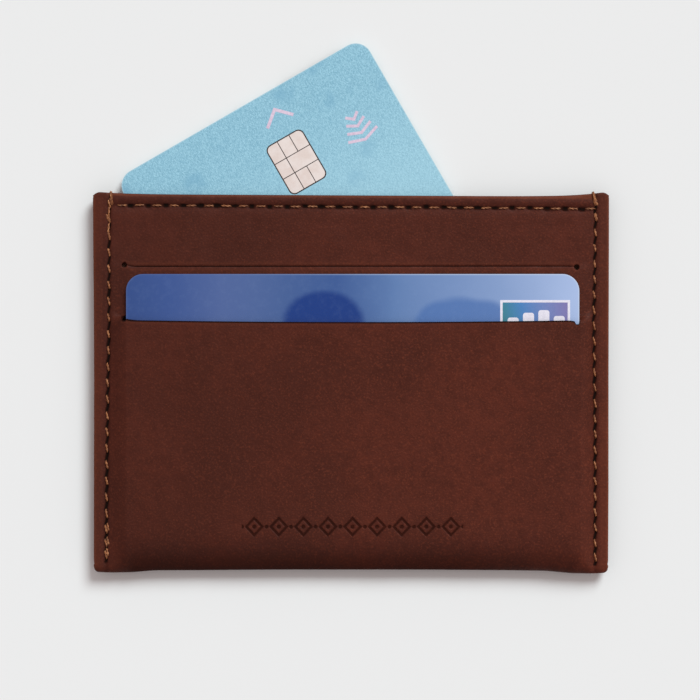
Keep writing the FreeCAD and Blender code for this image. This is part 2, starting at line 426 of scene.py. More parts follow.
def needle_holes():
    """Dimples between the stitches: two ends and half a width."""
    holes = []
    draw = np.random.default_rng(11)
    for side in (-1, 1):
        row = seam_stitches(side)
        for a, b in zip(row, row[1:]):
            holes.append((a[1], b[0], 0.21 * draw.uniform(0.8, 1.15)))
        holes.append((row[-1][1], (row[-1][1][0] - 0.25, row[-1][1][1] - 0.7), 0.22))
    row = hem_stitches()
    for a, b in zip(row, row[1:]):
        drop = draw.normal(0.0, 0.07)
        start = (a[1][0] + draw.uniform(0.3, 0.5), a[1][1] - 0.04 + drop)
        end = (b[0][0] - draw.uniform(0.25, 0.5), b[0][1] - 0.04 + drop)
        holes.append((start, end, 0.33 * draw.uniform(0.85, 1.2)))
    return holes


def holes_at(x, y, holes):
    """1 in the middle of a needle hole, 0 outside all of them."""
    found = np.zeros(x.shape)
    for (ax, ay), (bx, by), half in holes:
        near = (np.abs(x - (ax + bx) / 2) < 1.6) & (np.abs(y - (ay + by) / 2) < 1.6)
        if not near.any():
            continue
        dx, dy = bx - ax, by - ay
        t = ((x[near] - ax) * dx + (y[near] - ay) * dy) / (dx * dx + dy * dy)
        t = np.clip(t, 0.04, 0.96)
        gap = np.hypot(x[near] - ax - t * dx, y[near] - ay - t * dy)
        found[near] = np.maximum(found[near], smooth(1.5 - gap / half))
    return found


# a generic band of lozenges and dots pressed into the lower front
BAND_X, BAND_Y, BAND_HALF_W, BAND_HALF_H = 0.3, -27.25, 20.9, 2.0
BAND_COUNT = 9


def pressed_band(x, y):
    """1 inside the pressed lines of the ornament, 0 outside."""
    pitch = 2 * BAND_HALF_W / BAND_COUNT
    u, v = x - BAND_X, y - BAND_Y
    inside = (np.abs(u) < BAND_HALF_W) & (np.abs(v) < BAND_HALF_H)
    cell = np.abs((u + BAND_HALF_W) % pitch - pitch / 2)
    a, b = 1.5, 1.6
    lozenge = np.abs((cell / a + np.abs(v) / b - 1) * a * b / math.hypot(a, b))
    dot = np.hypot(cell, v) - 0.16
    between = np.hypot(cell - pitch / 2, v) - 0.14
    gap = np.minimum(np.minimum(lozenge, dot), between)
    return np.where(inside, smooth((0.30 - gap) / 0.12), 0.0)


# places of the mesh's columns: close together at the slits' ends, the seams and the cut sides
X = paced((-HALF_W, -48.2, -46.9, TIP_LEFT, -42.0, 42.0, TIP_RIGHT, 46.9, 48.2, HALF_W),
          (0.1, 0.22, 0.12, 0.104, 0.56, 0.106, 0.12, 0.22, 0.1))
PAST_TIP = beyond_tip(X) > -1e-6


def lip_opening(x, gap):
    """Half the width of a slit: a punched hole at each end, a knife cut between."""
    dx = np.minimum(np.abs(x - HOLE_LEFT), np.abs(x - HOLE_RIGHT))
    hole = np.sqrt(np.maximum(HOLE_R ** 2 - dx ** 2, 0.0))
    cut = gap / 2 * smooth((dx - 0.7) / 0.5)
    return np.where(beyond_tip(x) > -1e-6, 0.0, np.maximum(hole, cut))


def stack(rows):
    """Rows of points (x, y, z), each a triple of arrays along the columns, as one array."""
    return np.array([np.stack(np.broadcast_arrays(*r), axis=-1) for r in rows], float)


def hem_roll(z_outer, z_flap, y_edge, depth):
    """Turned hem: up the pocket face, over the top. Ends where the outer face starts."""
    r = (z_outer - z_flap) / 2
    rows, thick = [], []
    for t in np.linspace(0, 1, 9)[:-1]:
        rows.append((X, y_edge - np.abs(r) - depth * (1 - t), z_flap))
        thick.append(np.full(X.shape, FLAP_T))
    for a in np.linspace(0, math.pi, 11)[:-1]:
        rows.append((X, y_edge - np.abs(r) + np.abs(r) * math.sin(a),
                     z_flap + r * (1 - math.cos(a))))
        thick.append(np.minimum(0.75 * np.abs(r), FLAP_T + 0.25 * math.sin(a / 2)))
    return rows, thick


TOP_RUN, STRIP_RUN, LOW_RUN = 12.9, 10.4, 42.0     # lengths of the front's three zones, in mm
FOLD_POWER = 2 / 2.2                               # the fold's section is a superellipse


def fold_thickness(fold_t, y):
    return fold_t + (LEATHER - fold_t) * smooth((y + 34.0) / 3.0)


def front_blocks():
    """Three blocks of rows down the front; the last one goes on round the fold and up the back."""
    hem_in = smooth((HEM_HALF_W + 0.8 - np.abs(X)) / 0.8)
    depth = 0.3 + (HEM_DEPTH - 0.9) * hem_in
    flap_z = SEAM_FRONT_Z - SEAM_SKIN + (FLAP_FRONT_Z - SEAM_FRONT_Z + SEAM_SKIN) * hem_in
    edge = top_y(X)
    outer = front_height(X, edge)
    rows, thick = hem_roll(outer, flap_z, edge, depth)
    start = edge - (outer - flap_z) / 2
    upper, lower = upper_slit_y(X), lower_slit_y(X)
    for t in paced((0, 1.9, 11.9, TOP_RUN), (0.16, 0.36, 0.16)) / TOP_RUN:
        y = start + (upper - start) * t
        rows.append((X, y, front_height(X, np.maximum(y, upper + 1e-6))))
        thick.append(np.full(X.shape, 0.45 + 0.35 * float(smooth(t * TOP_RUN / 1.6))))
    top_block = (stack(rows), np.array(thick))

    rows = []
    for t in paced((0, 1.0, 9.3, STRIP_RUN), (0.17, 0.36, 0.17)) / STRIP_RUN:
        y = upper + (lower - upper) * t
        inside = np.clip(y, lower + 1e-6, upper - 1e-6)
        rows.append((X, y, front_height(X, inside)))
    strip_block = (stack(rows), np.full((len(rows), len(X)), LEATHER))

    low_rows, low_thick = [], []
    ramp = back_ramp(X)
    foot = bottom_y(X)
    rise_front = 1.3 + 3.9 * ramp
    rise_back = 1.0 + 0.9 * ramp
    fold_top = foot + rise_front
    belly = 2.2 - 0.4 * ramp
    fold_t = 0.7 - 0.28 * ramp
    for t in paced((0, 1.1, LOW_RUN), (0.17, 0.37)) / LOW_RUN:
        y = lower + (fold_top - lower) * t
        low_rows.append((X, y, front_height(X, np.minimum(y, lower - 1e-6))))
        low_thick.append(fold_thickness(fold_t, y))
    z_front = low_rows[-1][2]
    for a in np.linspace(0, math.pi / 2, 15)[1:]:
        s, c = math.sin(a) ** FOLD_POWER, max(math.cos(a), 0.0) ** FOLD_POWER
        y = foot + rise_front * (1 - s)
        low_rows.append((X, y, belly + (z_front - belly) * c))
        low_thick.append(fold_thickness(fold_t, y))
    z_back = SEAM_BACK_Z * (1 - ramp)
    for a in np.linspace(math.pi / 2, 0, 11)[1:]:
        s, c = math.sin(a) ** FOLD_POWER, max(math.cos(a), 0.0) ** FOLD_POWER
        low_rows.append((X, foot + rise_back * (1 - s), belly - (belly - z_back) * c))
        low_thick.append(fold_t + (LEATHER - fold_t) * c ** 3)
    edge = top_y(X) - 0.15
    hem_z = SEAM_BACK_Z + SEAM_SKIN + (FLAP_BACK_Z - SEAM_BACK_Z - SEAM_SKIN) * hem_in
    r = (hem_z - z_back) / 2
    begin, end = foot + rise_back, edge - r
    for t in np.linspace(0, 1, 40)[1:]:
        low_rows.append((X, begin + (end - begin) * t, z_back))
        low_thick.append(np.full(X.shape, 0.45 + 0.35 * float(smooth((1 - t) * 20))))
    back_rows, back_thick = hem_roll(z_back, hem_z, edge, depth)
    low_rows += back_rows[::-1]
    low_thick += back_thick[::-1]
    return [top_block, strip_block, (stack(low_rows), np.array(low_thick))]


def normals_of(points):
    down = np.gradient(points, axis=0)
    across = np.gradient(points, X, axis=1)
    n = np.cross(down, across)
    return n / np.maximum(np.linalg.norm(n, axis=2, keepdims=True), 1e-9)


def finish_surface(points, normals, holes):
    """Grooves, dimples, rolls and slow unevenness on the outer face, with its shade masks."""
    x, y = points[..., 0], points[..., 1]
    facing = normals[..., 2]
    front = smooth((facing - 0.35) / 0.4)
    back = smooth((-facing - 0.35) / 0.4) * (points[..., 2] < 1.6)
    outside = smooth((points[..., 2] - 2.05) / 0.25)     # 0 on the back hem's pocket face
    a = np.abs(x)
    dark, wear_and_highlight = np.zeros(x.shape), np.zeros(x.shape)
    move = np.zeros(x.shape)

    # grooves that the threads lie in, and a ridge between the hem's groove and its edge
    line = np.where(x < 0, -seam_line_x(-1, y), seam_line_x(1, y))
    groove = bell(a - line, 0.42)
    move -= 0.15 * groove * (front + back)
    # painted shade in the seam groove
    dark += 0.22 * groove * front
    from_line = y - hem_line_y(x)
    on_hem = front * smooth((46.5 - a) / 0.8)
    below = np.where(from_line > 0, 0.38, 1.0)
    hem = bell(from_line, below) * on_hem
    move -= 0.17 * hem
    # painted shade in the hem's groove
    dark += 0.30 * bell(from_line, 0.35) * on_hem
    move += 0.10 * bell(from_line - 1.15, 0.6) * on_hem * outside
    # lighter band up to the hem's top edge: painted highlight on the rounded edge, with some wear
    wear_and_highlight += 0.30 * smooth((from_line - 1.55) / 0.5) * on_hem
    # painted shade on the slope that falls into the hem's groove
    dark += 0.13 * bell(from_line - 0.8, 0.55) * on_hem

    # needle holes, with painted shade in them
    pits = holes_at(x, y, holes) * (front + 0.8 * back)
    move -= 0.14 * pits
    dark += 0.9 * holes_at(x, y, [(a1, b1, 1.2 * half) for a1, b1, half in holes]) * front

    # margins outside the seams, and their rounded cut edges
    margin = smooth((a - 46.8) / 0.5) * (front + back)
    move += 0.05 * margin
    r = CUT_EDGE_R
    rounded = r - np.sqrt(np.maximum(r ** 2 - np.clip(a - HALF_W + r, 0, r) ** 2, 0))
    move -= rounded * (front + back)
    # lighter cut edges, partly wear and partly a painted highlight on their rounding; the right
    # margin lighter than the left: painted light from the right
    wear_and_highlight += 0.25 * smooth((a - 48.1) / 0.4) + np.where(x > 0, 0.08, 0.05) * margin

    # slow unevenness, and painted shade down the fold where it turns away from the light, darkest
    # at the bottom edge
    slow = wander(x, y, 0.035, 5) + wander(x * 2.3, y * 2.3, 0.018, 6)
    move += slow * (front * outside + 0.7 * back)
    filled = smooth((45.6 - a) / 5.0) * (1 - 0.35 * smooth((x - 18.0) / 22.0))
    dark += 0.56 * smooth((-27.0 - y) / 7.2) * filled + 0.03 * smooth((-34.4 - y) / 1.0)

    # lips of the slits: painted shade along each slit's line and a painted highlight on the rounded
    # lips
    from_tip = -beyond_tip(x)
    thin_line = 0.42 * smooth((from_tip - 1.35) / 0.4) * (1 - 0.4 * smooth((x - 12.0) / 20.0))
    for slit, slit_shade, reach in ((upper_slit_y(x), thin_line, 0.17), (lower_slit_y(x), 0.92, 0.36)):
        inside = smooth((from_tip + 0.1) / 0.3) * front
        move -= 0.10 * np.clip(1 - np.abs(y - slit) / 0.34, 0, 1) ** 2 * inside
        wear_and_highlight += 0.07 * bell(np.abs(y - slit) - 0.55, 0.22) * inside
        dark += slit_shade * smooth((reach - np.abs(y - slit)) / 0.14) * inside
    return points + normals * move[..., None], np.clip(dark, 0, 1), np.clip(wear_and_highlight, 0, 1)


def spread_lips(points, slit, gap, sign):
    """Moves the rows near a slit away from it, so that it shows its two holes and its cut."""
    x, y = points[..., 0], points[..., 1]
    away = np.abs(y - slit(x))
    near = np.clip(1 - away / 1.6, 0, 1) ** 2
    points[..., 1] += sign * lip_opening(x, gap) * near


def thin(count, stride, keep=()):
    picked = set(range(0, count, stride)) | {0, count - 1} | set(keep)
    return sorted(picked)


THIN = 4                                    # the inner face keeps every fourth row and column
BACK_ROWS = 78                              # but every second of these last rows
LIP_ROWS = 14                               # rows that are near enough to a slit to move
BAND_DEPTH, BAND_INK, ABOVE_BAND_Z = 0.10, 0.68, 3.6


def edge_wander(x, y):
    """The sides are not quite straight: they stand out a little towards the top."""
    if x > 0:
        out = np.interp(y, [-36, -20, 0, 20, 36], [0.12, 0.2, 0.2, 0.26, 0.3])
    else:
        out = -np.interp(y, [-36, 0, 15, 25, 36], [0.10, 0.05, 0.10, 0.2, 0.26])
    return out * min(max((abs(x) - 46.9) / 1.7, 0.0), 1.0)


def build_leather():
    blocks = front_blocks()
    holes = needle_holes()
    outer, inner, shades = [], [], []
    for points, thick in blocks:
        n = normals_of(points)
        under = points - n * thick[..., None]
        under[..., 0] = np.clip(under[..., 0], -HALF_W, HALF_W)
        over, dark, wear_and_highlight = finish_surface(points, n, holes)
        outer.append(over)
        inner.append(under)
        shades.append((dark, wear_and_highlight))
    for group in (outer, inner):
        spread_lips(group[0][-LIP_ROWS:], upper_slit_y, UPPER_GAP, 1)
        spread_lips(group[1][:LIP_ROWS], upper_slit_y, UPPER_GAP, -1)
        spread_lips(group[1][-LIP_ROWS:], lower_slit_y, LOWER_GAP, 1)
        spread_lips(group[2][:LIP_ROWS], lower_slit_y, LOWER_GAP, -1)

    bm = bmesh.new()
    dark_layer = bm.verts.layers.float.new("dark")
    wear_and_highlight_layer = bm.verts.layers.float.new("wear_and_highlight")
    columns = len(X)
    tips = [int(np.argmin(np.abs(X - TIP_LEFT))), int(np.argmin(np.abs(X - TIP_RIGHT)))]
    kept = thin(columns, THIN, tips)

    def make(point, dark, wear_and_highlight):
        v = bm.verts.new(point * MM)
        v[dark_layer], v[wear_and_highlight_layer] = float(dark), float(wear_and_highlight)
        return v

    def grid(points, dark, wear_and_highlight, rows, cols, above):
        """Vertices of one block; its first row shares the one above beyond the slit's tips."""
        table = {}
        for j, row in enumerate(rows):
            for c in cols:
                if j == 0 and above is not None and PAST_TIP[c]:
                    table[row, c] = above[c]
                else:
                    table[row, c] = make(points[row, c], dark[row, c], wear_and_highlight[row, c])
        return table

    last_outer = last_inner = None
    tables = []
    for b in range(3):
        count = outer[b].shape[0]
        rows_in = thin(count, THIN)
        if b == 2:
            rows_in = sorted(set(rows_in) | set(range(count - BACK_ROWS, count, 2)))
        dark, wear_and_highlight = shades[b]
        if b:
            for layer in (dark, wear_and_highlight):
                layer[0] = np.where(PAST_TIP, 0.0, layer[0])
        out = grid(outer[b], dark, wear_and_highlight, range(count), range(columns), last_outer)
        ins = grid(inner[b], dark * 0 + 0.25, wear_and_highlight * 0, rows_in, kept, last_inner)
        tables.append((out, ins, count))
        last_outer = {c: out[count - 1, c] for c in range(columns)}
        last_inner = {c: ins[count - 1, c] for c in kept}
        for r in range(count - 1):
            for c in range(columns - 1):
                bm.faces.new((out[r, c], out[r + 1, c], out[r + 1, c + 1], out[r, c + 1]))
        for r0, r1 in zip(rows_in, rows_in[1:]):
            for c0, c1 in zip(kept, kept[1:]):
                bm.faces.new((ins[r0, c0], ins[r0, c1], ins[r1, c1], ins[r1, c0]))
            for c, flip in ((0, False), (columns - 1, True)):
                edge = [out[r, c] for r in range(r0, r1 + 1)] + [ins[r1, c], ins[r0, c]]
                bm.faces.new(edge[::-1] if flip else edge)

    def rim(out, ins, row, inside_only, flip):
        """Cut edge along a row; a slit's edge has none beyond the slit's tips."""
        for c0, c1 in zip(kept, kept[1:]):
            same_side = (X[c0] < 0) == (X[c1] < 0)
            if inside_only and PAST_TIP[c0] and PAST_TIP[c1] and same_side:
                continue
            edge = [out[row, c] for c in range(c0, c1 + 1)] + [ins[row, c1], ins[row, c0]]
            bm.faces.new(edge[::-1] if flip else edge)

    for b, (out, ins, count) in enumerate(tables):
        rim(out, ins, 0, b > 0, True)
        rim(out, ins, count - 1, b < 2, False)

    cut = [e for e in bm.edges
           if all(abs(v.co.x / MM - BAND_X) < BAND_HALF_W + 0.6
                  and abs(v.co.y / MM - BAND_Y) < BAND_HALF_H + 0.25
                  and v.co.z / MM > ABOVE_BAND_Z for v in e.verts)]
    bmesh.ops.subdivide_edges(bm, edges=cut, cuts=3, use_grid_fill=True)
    bm.verts.ensure_lookup_table()
    for v in bm.verts:
        x, y, z = (c / MM for c in v.co)
        v.co.x += edge_wander(x, y) * MM
        if abs(x - BAND_X) < BAND_HALF_W and abs(y - BAND_Y) < BAND_HALF_H and z > ABOVE_BAND_Z:
            mark = float(pressed_band(np.array(x), np.array(y)))
            v.co.z -= BAND_DEPTH * mark * MM
            v[dark_layer] = max(v[dark_layer], BAND_INK * mark)
    return to_object("leather_body", bm, leather, 38.0)


leather_body = build_leather()
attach(leather_body, "wallet")
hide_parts("front_panel", "bottom_fold", "back_panel", "front_top_hem",
            "back_top_hem")


# ---- threads --------------------------------------------------------------------------------
THREAD_R, PLY_TURNS = 0.118, 1.3


def ply(bm, centre, sides, ups, phase, radius, offset, shade):
    """One ply of a twisted thread as a closed tube along a polyline."""
    count, around = len(centre), 7
    layer = bm.verts.layers.float["dark"]
    rings = []
    for i in range(count):
        turn = phase + 2 * math.pi * PLY_TURNS * i / (count - 1)
        mid = centre[i] + sides[i] * math.cos(turn) * offset + ups[i] * math.sin(turn) * offset
        ring = []
        for k in range(around):
            a = 2 * math.pi * k / around
            ring.append(bm.verts.new((mid + sides[i] * math.cos(a) * radius
                                      + ups[i] * math.sin(a) * radius) * MM))
            ring[-1][layer] = float(shade[i])
        rings.append(ring)
    for a, b in zip(rings, rings[1:]):
        for k in range(around):
            bm.faces.new((a[k], a[(k + 1) % around], b[(k + 1) % around], b[k]))
    bm.faces.new(rings[0][::-1])
    bm.faces.new(rings[-1])


def stitch(bm, start, end, surface, up, proud, dive, phase, radius, tone):
    """A two-ply stitch from hole to hole: it rises out of one and dives into the other."""
    (ax, ay), (bx, by) = start, end
    run = np.array([bx - ax, by - ay, 0.0])
    run /= np.linalg.norm(run)
    side = np.array([-run[1], run[0], 0.0])
    points = []
    places = np.linspace(-0.04, 1.04, 17)
    for t in places:
        lift = 1 - abs(2 * t - 1) ** 4
        x, y = ax + (bx - ax) * t, ay + (by - ay) * t
        rise = -dive + (dive + proud) * max(lift, 0.0) ** 0.6
        points.append(np.array([x, y, surface(x, y) + up * rise]))
    points = np.array(points)
    along = unit(np.gradient(points, axis=0))
    ups = np.cross(along, np.broadcast_to(side, along.shape))
    ups *= np.sign(ups[:, 2:3]) * up
    sides = np.broadcast_to(side, along.shape)
    # darker towards both ends: painted shade where the thread goes into the holes
    shade = np.clip(tone + smooth((np.abs(2 * places - 1) - 0.72) / 0.3), 0, 1)
    for turn in (0.0, math.pi):
        ply(bm, points, sides, ups, phase + turn, radius, radius * 0.8, shade)


def front_z(x, y):
    """The front's outer face at one place, before its grooves are pressed in."""
    return float(front_height(np.array(x), np.array(y)))


def overhang(bm, x):
    """The thread's turn over the pocket's edge at the top of a side seam."""
    edge = float(top_y(np.array(x)))
    route = np.array([
        (x + 0.24, edge - 2.2, 2.75), (x + 0.20, edge - 1.9, 3.15), (x + 0.10, edge - 1.2, 3.24),
        (x, edge - 0.5, 3.25), (x - 0.05, edge - 0.08, 3.18), (x - 0.08, edge + 0.14, 2.9),
        (x - 0.08, edge + 0.16, 2.3), (x - 0.08, edge + 0.12, 1.6), (x - 0.05, edge - 0.15, 1.2),
        (x, edge - 1.0, 1.14), (x + 0.1, edge - 1.7, 1.2), (x + 0.12, edge - 1.9, 1.6)])
    at = np.linspace(0, len(route) - 1, 40)
    points = np.stack([np.interp(at, range(len(route)), route[:, k]) for k in range(3)], axis=1)
    along = unit(np.gradient(points, axis=0))
    sides = np.broadcast_to(np.array([1.0, 0.0, 0.0]), along.shape)
    sides = unit(sides - along * along[:, :1])
    ups = np.cross(sides, along)
    for k in range(3):
        turn = k * 2 * math.pi / 3
        ply(bm, points, sides, ups, turn, THREAD_R, THREAD_R * 1.1, np.zeros(len(points)))


def thread_piece(name, rows, loops=(), radius=THREAD_R, tone=0.0):
    """rows: (stitches, surface, up, proud, dive); loops: where the thread turns over the edge."""
    bm = bmesh.new()
    bm.verts.layers.float.new("dark")
    draw = np.random.default_rng(len(name))
    for stitches, surface, up, proud, dive in rows:
        for start, end in stitches:
            wobble = draw.normal(0, 0.03, 4)
            a = (start[0] + wobble[0], start[1] + wobble[1])
            b = (end[0] + wobble[2], end[1] + wobble[3])
            stitch(bm, a, b, surface, up, proud, dive, draw.uniform(0, 6.28), radius,
                   tone + draw.uniform(-0.08, 0.12))
    for path in loops:
        overhang(bm, path)
    obj = to_object(name, bm, thread, 60.0)
    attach(obj, "wallet")
    return obj


def doubled(stitches, which, aside, ahead=0.45):
    """The same stitches sewn twice, side by side, for the back-tacks at a seam's ends."""
    made = []
    for i in which:
        (ax, ay), (bx, by) = stitches[i]
        made.append(((ax + aside, ay + ahead), (bx + aside * 0.9, by + ahead)))
    return made


def between(stitches, which, aside):
    """Back-tack stitches from the foot of one stitch to the head of the next."""
    made = []
    for i in which:
        (ax, ay), (bx, by) = stitches[i][1], stitches[i + 1][0]
        made.append(((ax + aside, ay + 0.2), (bx, by - 0.3)))
    return made


def add_threads():
    for side, word in ((-1, "left"), (1, "right")):
        row = seam_stitches(side)
        if side < 0:
            extra = doubled(row, (0, 20, 21, 22), 0.34) + doubled(row, (1,), -0.36)
            extra += between(row, (0, 1), -0.2)
        else:
            extra = doubled(row, (0, 1), 0.2, 0.0)
        top = thread_piece(word + "_seam_stitches",
                           [(row + extra, lambda x, y: front_z(x, y) - 0.13, 1, 0.12, 0.42)],
                           [-45.4 if side < 0 else 46.0])
        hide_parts(word + "_seam_needle_thread")
        under = thread_piece(word + "_seam_back_stitches",
                             [(row, lambda x, y: SEAM_BACK_Z + 0.13, -1, 0.08, 0.35)])
        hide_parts(word + "_seam_bobbin_thread")
    row = hem_stitches()
    top = thread_piece("front_hem_stitches",
                       [(row, lambda x, y: front_z(x, y) - 0.18, 1, 0.14, 0.4)],
                       radius=0.105, tone=0.2)
    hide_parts("front_hem_needle_thread")
    levels = (("front_hem_back_stitches", FLAP_FRONT_Z + 0.2, -1, "front_hem_bobbin_thread"),
              ("back_hem_stitches", 0.22, -1, "back_hem_needle_thread"),
              ("back_hem_inner_stitches", FLAP_BACK_Z - 0.2, 1, "back_hem_bobbin_thread"))
    for name, z, up, node in levels:
        piece = thread_piece(name, [(row[1:-1], lambda x, y, z=z: z, up, 0.0, 0.2)])
        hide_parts(node)


add_threads()


# ---- lining and divider ---------------------------------------------------------------------
def cloth(name, xs, ys, height, thick):
    bm = bmesh.new()
    tables = []
    for lift in (0.0, thick):
        tables.append([[bm.verts.new(Vector((x, y, height(x, y) + lift)) * MM) for x in xs]
                       for y in ys])
    low, high = tables
    rows, cols = len(ys), len(xs)
    for j in range(rows - 1):
        for i in range(cols - 1):
            bm.faces.new((low[j][i], low[j + 1][i], low[j + 1][i + 1], low[j][i + 1]))
            bm.faces.new((high[j][i], high[j][i + 1], high[j + 1][i + 1], high[j + 1][i]))
    for i in range(cols - 1):
        bm.faces.new((low[0][i], low[0][i + 1], high[0][i + 1], high[0][i]))
        bm.faces.new((low[-1][i], high[-1][i], high[-1][i + 1], low[-1][i + 1]))
    for j in range(rows - 1):
        bm.faces.new((low[j][0], high[j][0], high[j + 1][0], low[j + 1][0]))
        bm.faces.new((low[j][-1], low[j + 1][-1], high[j + 1][-1], high[j][-1]))
    return to_object(name, bm, fabric)


def lining_height(x, y):
    fall = float(smooth((abs(x) - 43.35) / 1.95))
    sway = 0.012 * math.sin(x * 0.42) * math.sin(y * 0.35)
    return 2.12 - 0.02 * fall + sway * (1 - fall)


lining = cloth("pocket_lining", np.linspace(-48.55, 48.55, 119), np.linspace(-33.3, 35.0, 60),
               lining_height, 0.18)
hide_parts("front_lining")
divider = cloth("slot_divider_cloth", np.linspace(-43.3, 43.3, 100), np.linspace(-24.0, 21.4, 50),
                lambda x, y: 2.335 + 0.008 * math.sin(x * 0.5) * math.sin(y * 0.4), 0.17)
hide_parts("slot_divider")
for piece, size, under in ((lining, (0.0971, 0.0683), "leather_body"),
                           (divider, (0.0866, 0.0454), "pocket_lining")):
    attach(piece, "wallet")


# ---- cards ----------------------------------------------------------------------------------
BLUE_TILT = math.atan(LOW_SLOPE)
BLUE_ORIGIN = (0.34 - CARD_W / 2, FOLD_Y, 2.42)
PALE_TURN = math.radians(-60)
PALE_CENTRE = (0.10, 14.95)
PALE_Z = 1.08


def on_blue(u, v, w):
    """Millimetres on the front card, from its lower left corner, to the frame."""
    c, s = math.cos(BLUE_TILT), math.sin(BLUE_TILT)
    return Vector((BLUE_ORIGIN[0] + u, BLUE_ORIGIN[1] + v * c - w * s,
                   BLUE_ORIGIN[2] + v * s + w * c))


def on_pale(u, v, w):
    du, dv = u - CARD_W / 2, v - CARD_H / 2
    c, s = math.cos(PALE_TURN), math.sin(PALE_TURN)
    return Vector((PALE_CENTRE[0] + du * c - dv * s, PALE_CENTRE[1] + du * s + dv * c,
                   PALE_Z + w))


def card_place(m, card):
    """Coordinates on a card, in mm from its middle, worked out from the object's own."""
    if card == "blue":
        centre = on_blue(CARD_W / 2, CARD_H / 2, 0)
        turn = (-BLUE_TILT, 0, 0)
    else:
        centre = on_pale(CARD_W / 2, CARD_H / 2, 0)
        turn = (0, 0, -PALE_TURN)
    moved = m.vector("SUBTRACT", m.place, tuple(centre))
    node = m.node("VectorRotate", Vector=moved)
    node.rotation_type = "EULER_XYZ"
    node.inputs["Rotation"].default_value = turn
    return node.outputs[0]


def edge_distance(m, at):
    """Distance inwards from the card's outline, in mm."""
    half = (CARD_W / 2 - CARD_R, CARD_H / 2 - CARD_R, 100.0)
    over = m.vector("SUBTRACT", m.vector("ABSOLUTE", at), half)
    over = m.vector("MAXIMUM", over, (0.0, 0.0, 0.0))
    return m.minus(CARD_R, m.vector("LENGTH", over))


def blob(m, x, y, cx, cy, rx, ry, ragged):
    """1 in the middle of an oval on the card, 0 outside."""
    dx = m.math("DIVIDE", m.minus(x, cx), rx)
    dy = m.math("DIVIDE", m.minus(y, cy), ry)
    r = m.plus(m.times(dx, dx), m.times(dy, dy))
    r = m.plus(r, m.times(m.minus(m.noise(0.1, 1.0), 0.5), ragged))
    return m.span(r, 0.62, 1.08, 1.0, 0.0)


def under_gloss(r, g, b, lift=0.014):
    """The print's own colour, where the clear film's reflection adds a little to it."""
    return tuple(max(v - lift, 0.0) for v in linear(r, g, b)[:3]) + (1.0,)


def blue_material():
    m = Material("blue_print", Roughness=0.2, Specular_IOR_Level=0.4, Coat_Weight=0.3,
                 Coat_Roughness=0.08)
    at = card_place(m, "blue")
    x, y, _ = m.axes(at)
    sway = m.times(m.minus(m.noise(0.12, 2.0, 0.5, at), 0.5), 0.05)
    across = m.plus(m.math("DIVIDE", m.plus(x, CARD_W / 2), CARD_W), sway)
    # lighter towards the right: print, with a painted reflection of the light on the right
    stops = ((0.0, (54, 80, 137)), (0.10, (62, 88, 147)), (0.21, (82, 104, 157)),
             (0.28, (80, 104, 156)), (0.36, (72, 99, 152)), (0.46, (64, 94, 151)),
             (0.53, (80, 110, 163)), (0.59, (97, 128, 178)), (0.72, (120, 147, 194)),
             (0.83, (136, 161, 205)), (1.0, (172, 192, 231)))
    tone = m.ramp(across, [(at_x, under_gloss(*rgb)) for at_x, rgb in stops])
    for cx, cy, rx, ry, low, share, ragged in (
            (-5.4, 18.2, 8.2, 6.0, (30, 63, 131), 1.0, 0.3),
            (20.2, 16.4, 9.6, 6.6, (78, 115, 176), 0.8, 1.2),
            (2.0, -2.0, 30.0, 13.0, (34, 66, 138), 0.8, 0.8)):
        shape = blob(m, x, y, cx, cy, rx, ry, ragged)
        tone = m.mix(m.times(shape, share), tone, under_gloss(*low))
    tone = m.mix(m.span(m.noise(0.9, 4.0, 0.6, at), 0.45, 0.75, 0.0, 0.03), tone,
                 linear(160, 186, 226))
    # a thin light line of white core round the edge, brighter towards the right: painted highlight
    # along the right edge
    border = m.span(edge_distance(m, at), 0.08, 0.30, 1.0, 0.0)
    core_line_and_highlight = m.times(border, m.span(across, 0.15, 0.9, 0.04, 0.55))
    m.colour(m.mix(core_line_and_highlight, tone, linear(206, 220, 240)))
    m.bump(m.noise(0.5, 2.0, 0.5, at), 0.01, 0.5)
    return m.mat


def pale_material():
    m = Material("pale_print", Roughness=0.38, Coat_Weight=0.25, Coat_Roughness=0.3)
    at = card_place(m, "pale")
    x, _, _ = m.axes(at)
    streak = m.noise(4.4, 3.0, 0.75, m.vector("MULTIPLY", at, (0.7, 1.4, 1.0)), 0.5)
    tone = m.mix(m.span(streak, 0.34, 0.66), linear(114, 168, 192), linear(158, 208, 227))
    flecks = m.span(m.noise(6.5, 2.0, 0.8, at), 0.56, 0.72, 0.0, 0.45)
    tone = m.mix(flecks, tone, linear(205, 236, 244))
    spots = m.span(m.cells(0.13, at), 0.18, 0.36, 0.5, 0.0)
    spots = m.times(spots, m.span(m.noise(0.4, 2.0, 0.5, at), 0.35, 0.6))
    tone = m.mix(spots, tone, linear(112, 168, 196))
    tone = m.mix(m.span(x, -38.0, -12.0, 0.0, 0.26), tone, linear(190, 232, 245))
    border = m.span(edge_distance(m, at), 0.05, 0.22, 0.5, 0.0)
    m.colour(m.mix(border, tone, linear(196, 224, 232)))
    m.bump(streak, 0.012, 0.6)
    return m.mat


def speckled(name, low, high, per_mm=2.0, depth=0.006, detail=3.0, spread=(0.35, 0.65),
             **uniform):
    """A printed or moulded finish: two close tones and a slight unevenness."""
    m = Material(name, **uniform)
    n = m.noise(per_mm, detail, 0.6)
    m.colour(m.mix(m.span(n, *spread), linear(*low), linear(*high)))
    m.bump(n, depth, 0.5)
    return m.mat


